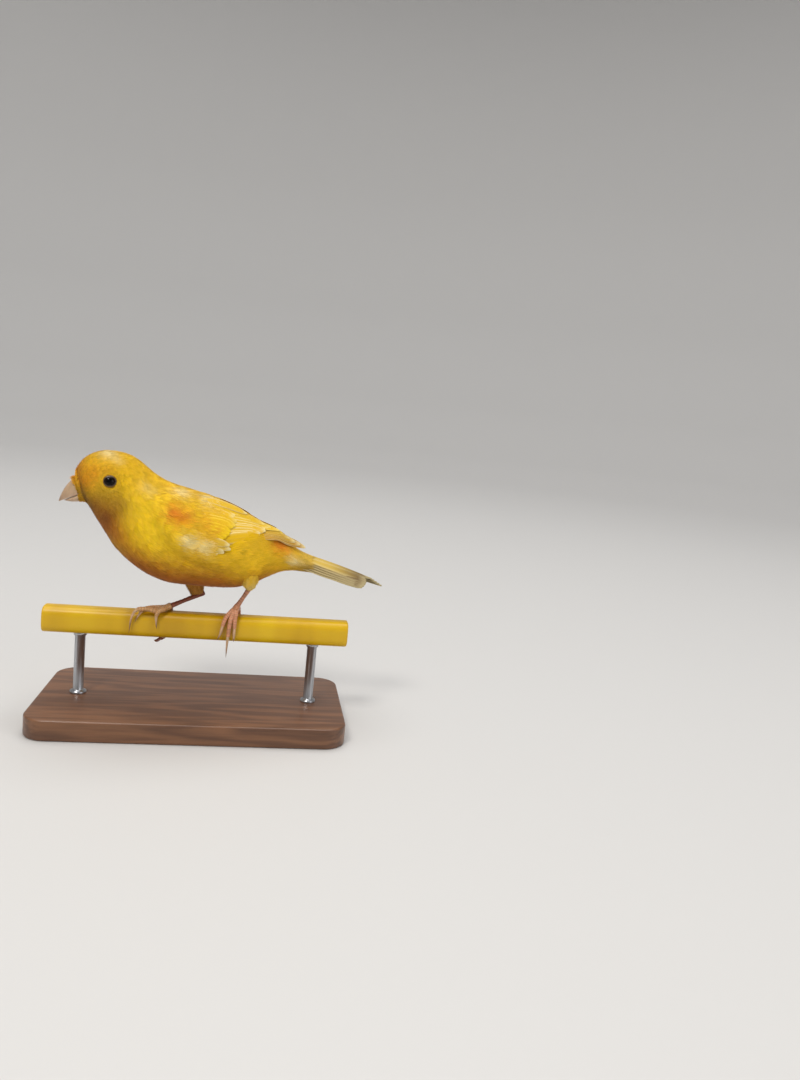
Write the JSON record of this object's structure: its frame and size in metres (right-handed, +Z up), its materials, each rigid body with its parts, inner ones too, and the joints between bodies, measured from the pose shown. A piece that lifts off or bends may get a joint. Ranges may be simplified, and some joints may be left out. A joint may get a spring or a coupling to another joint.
{
  "type": "canary",
  "caption": "Life-size still model of a yellow canary standing along a short length of cage perch on a plain display stand.",
  "frame": {"origin": "centre of the stand base's bottom face", "axes": "+Z up, +X from the bird's head to its tail along the perch, the bird's left side to -Y"},
  "size_m": [0.1355, 0.064, 0.1061],
  "materials": {
    "plumage": "soft body feathers, golden yellow, matt",
    "flight_feathers": "wing and tail vanes, yellow with cream edges, matt",
    "bill": "horn, satin",
    "eye": "black, wet gloss",
    "leg_skin": "scaly skin, satin",
    "claw": "horn, satin",
    "perch_plastic": "moulded yellow plastic, slightly worn",
    "stand_steel": "brushed",
    "stand_wood": "pale, satin oiled"
  },
  "bodies": {
    "root": {"claw_left_1": "claw", "claw_left_2": "claw", "claw_left_3": "claw", "claw_left_4": "claw", "claw_right_1": "claw", "claw_right_2": "claw", "claw_right_3": "claw", "claw_right_4": "claw", "eye_left": "eye", "eye_right": "eye", "foot_left": "leg_skin", "foot_right": "leg_skin", "head": "plumage", "lower_bill": "bill", "neck": "plumage", "perch": "perch_plastic", "shank_left": "plumage", "shank_right": "plumage", "stand_base": "stand_wood", "stand_rod_1": "stand_steel", "stand_rod_2": "stand_steel", "tail": "flight_feathers", "tarsus_left": "leg_skin", "tarsus_right": "leg_skin", "torso": "plumage", "upper_bill": "bill", "wing_left": "flight_feathers", "wing_right": "flight_feathers"}
  },
  "joints": []
}
